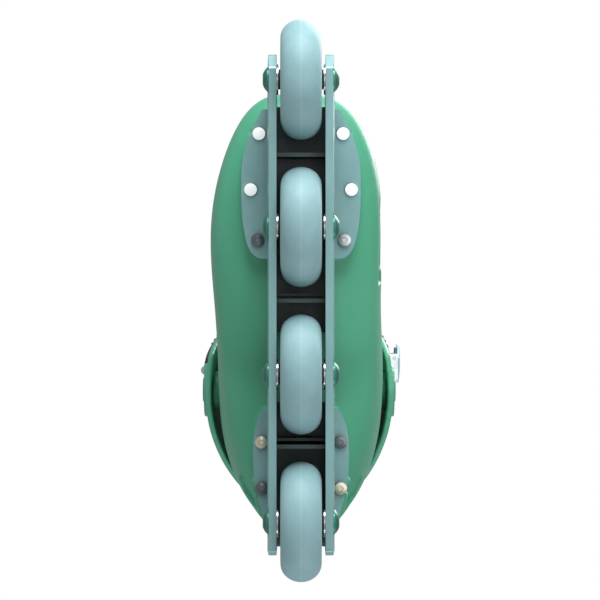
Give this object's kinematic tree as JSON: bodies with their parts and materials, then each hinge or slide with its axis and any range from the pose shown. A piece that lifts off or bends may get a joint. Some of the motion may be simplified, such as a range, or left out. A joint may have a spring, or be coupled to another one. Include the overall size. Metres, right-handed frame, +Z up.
{
  "type": "inline skate",
  "caption": "Left hard-shell inline skate: four wheels on bearings in an aluminium frame, hinged cuff with ratchet buckle.",
  "frame": {"origin": "on the ground, midway between the outer wheels, in the middle plane of the wheels", "axes": "+Z up, +Y from the toe to the heel, along the row of wheels, +X to the outer side of the foot"},
  "size_m": [0.1314, 0.328, 0.3038],
  "materials": {
    "shell_green": "satin moulded polypropylene",
    "cuff_green": "satin moulded polypropylene",
    "frame_aqua": "satin powder coat",
    "urethane": "matt cast urethane",
    "hub_plastic": "moulded nylon",
    "axle_teal": "anodised",
    "steel": "bright",
    "chrome": "polished plating",
    "seal_black": "matt",
    "spacer_black": "matt",
    "lever_blue": "gloss",
    "pawl_blue": "gloss",
    "strap_plastic": "matt",
    "liner_fabric": "knit mesh over foam",
    "tongue_fabric": "knit mesh over foam",
    "footbed_foam": "felt over foam",
    "strap_webbing": "woven tape"
  },
  "bodies": {
    "root": {"shell": "shell_green", "frame": "frame_aqua", "frame_rivets": "steel", "front_mount_screws": "steel", "rear_mount_screws": "steel", "mount_inserts": "steel", "axle_sleeves": "axle_teal", "axle_screws": "axle_teal", "axle_washers": "spacer_black", "rail_bosses": "steel", "bearing_inner_races": "steel", "bearing_spacers": "steel", "cuff_pivot_bolts": "axle_teal", "cuff_pivot_nuts": "steel", "liner_foot": "liner_fabric", "tongue": "tongue_fabric", "footbed": "footbed_foam", "instep_strap": "strap_webbing"},
    "cuff": {"cuff": "cuff_green", "liner_collar": "liner_fabric", "tongue_top": "tongue_fabric", "buckle_base": "chrome", "buckle_pins": "steel", "buckle_screws": "steel", "strap_anchor": "chrome", "strap_pin": "steel"},
    "lever": {"buckle_lever": "lever_blue"},
    "pawl": {"release_pawl": "pawl_blue"},
    "strap": {"ladder_strap": "strap_plastic"},
    "wheel_1": {"wheel_1_tyre": "urethane", "wheel_1_hub": "hub_plastic", "wheel_1_bearing_outer_races": "steel", "wheel_1_bearing_seals": "seal_black", "wheel_1_bearing_balls": "steel"},
    "wheel_2": {"wheel_2_tyre": "urethane", "wheel_2_hub": "hub_plastic", "wheel_2_bearing_outer_races": "steel", "wheel_2_bearing_seals": "seal_black", "wheel_2_bearing_balls": "steel"},
    "wheel_3": {"wheel_3_tyre": "urethane", "wheel_3_hub": "hub_plastic", "wheel_3_bearing_outer_races": "steel", "wheel_3_bearing_seals": "seal_black", "wheel_3_bearing_balls": "steel"},
    "wheel_4": {"wheel_4_tyre": "urethane", "wheel_4_hub": "hub_plastic", "wheel_4_bearing_outer_races": "steel", "wheel_4_bearing_seals": "seal_black", "wheel_4_bearing_balls": "steel"}
  },
  "joints": [
    {"name": "wheel_1_spin", "type": "hinge", "parent": "root", "child": "wheel_1", "pos_m": [0, -0.129, 0.035], "axis": [1, 0, 0], "continuous": true},
    {"name": "wheel_2_spin", "type": "hinge", "parent": "root", "child": "wheel_2", "pos_m": [0, -0.043, 0.035], "axis": [1, 0, 0], "continuous": true},
    {"name": "wheel_3_spin", "type": "hinge", "parent": "root", "child": "wheel_3", "pos_m": [0, 0.043, 0.035], "axis": [1, 0, 0], "continuous": true},
    {"name": "wheel_4_spin", "type": "hinge", "parent": "root", "child": "wheel_4", "pos_m": [0, 0.129, 0.035], "axis": [1, 0, 0], "continuous": true},
    {"name": "cuff_flex", "type": "hinge", "parent": "root", "child": "cuff", "pos_m": [0, 0.057, 0.182], "axis": [1, 0, 0], "range_deg": [-3, 12]},
    {"name": "lever_open", "type": "hinge", "parent": "cuff", "child": "lever", "pos_m": [0.0626, 0.053, 0.246], "axis": [0, 0, 1], "range_deg": [0, 75]},
    {"name": "pawl_release", "type": "hinge", "parent": "cuff", "child": "pawl", "pos_m": [0.0616, 0.038, 0.246], "axis": [0, 0, -1], "range_deg": [0, 8]},
    {"name": "strap_open", "type": "hinge", "parent": "cuff", "child": "strap", "pos_m": [-0.063, 0.046, 0.246], "axis": [0, 0, -1], "range_deg": [0, 60]}
  ]
}
